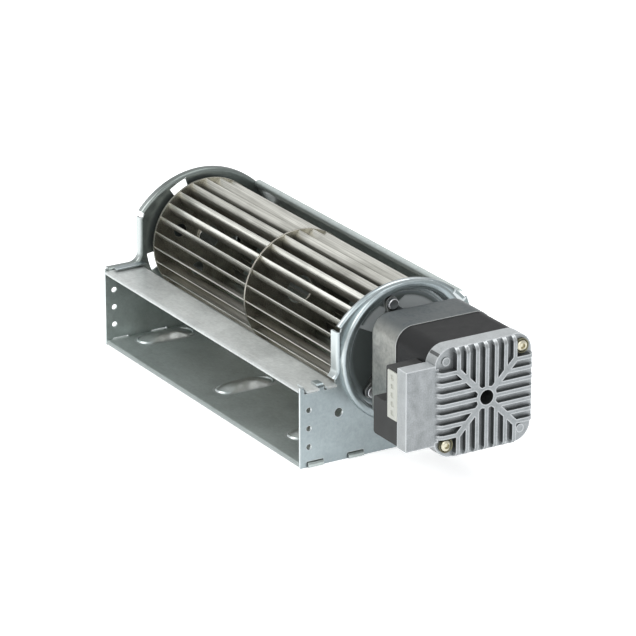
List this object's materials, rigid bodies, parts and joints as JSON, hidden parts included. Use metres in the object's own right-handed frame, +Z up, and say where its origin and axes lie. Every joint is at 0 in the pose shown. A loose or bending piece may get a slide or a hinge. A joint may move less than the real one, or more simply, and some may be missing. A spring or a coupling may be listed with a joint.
{
  "type": "cross flow fan",
  "caption": "Cross flow fan: a forward curved drum impeller in a folded sheet scroll housing with a rectangular outlet, driven by a square motor with a ribbed rear cover.",
  "frame": {"origin": "middle of the underside of the folded front hem, on which the fan rests", "axes": "+X along the impeller axis towards the motor, -Y the way the air leaves, +Z up"},
  "size_m": [0.2675, 0.0983, 0.0832],
  "materials": {
    "galvanised_sheet": "galvanised, satin",
    "blade_steel": "galvanised, satin",
    "shaft_steel": "ground",
    "hub_aluminium": "turned",
    "black_steel": "blackened",
    "magnet": "coated",
    "damper_rubber": "matte",
    "sintered_bronze": "matte",
    "white_plastic": "satin",
    "cast_aluminium": "die cast, matte",
    "zinc_screws": "zinc plated",
    "lamination": "varnished laminations",
    "winding": "varnished copper wire",
    "bearing_steel": "polished",
    "brass_screws": "yellow passivated",
    "dark_plastic": "moulded",
    "board": "solder mask",
    "brass_pins": "bright"
  },
  "bodies": {
    "housing": {"bearing_side_plate": "galvanised_sheet", "motor_side_plate": "galvanised_sheet", "scroll_wall": "galvanised_sheet", "outlet_lip": "galvanised_sheet", "bearing_damper": "damper_rubber", "bearing_bush": "sintered_bronze", "thrust_washer": "white_plastic", "motor_front_shield": "cast_aluminium", "mount_screws": "zinc_screws", "stator_stack": "lamination", "stator_windings": "winding", "front_bearing": "bearing_steel", "rear_bearing": "bearing_steel", "motor_rear_cover": "cast_aluminium", "cover_screws": "brass_screws", "electronics_case": "dark_plastic", "control_board": "board", "plug_header": "white_plastic", "header_pins": "brass_pins"},
    "rotor": {"impeller_blades": "blade_steel", "impeller_bearing_disc": "blade_steel", "impeller_centre_disc": "blade_steel", "impeller_motor_disc": "blade_steel", "stub_shaft": "shaft_steel", "impeller_hub": "hub_aluminium", "hub_set_screw": "black_steel", "motor_shaft": "shaft_steel", "magnet_rotor": "magnet"}
  },
  "joints": [
    {"name": "impeller_spin", "type": "hinge", "parent": "housing", "child": "rotor", "pos_m": [0, 0.0528, 0.0485], "axis": [1, 0, 0], "continuous": true}
  ]
}
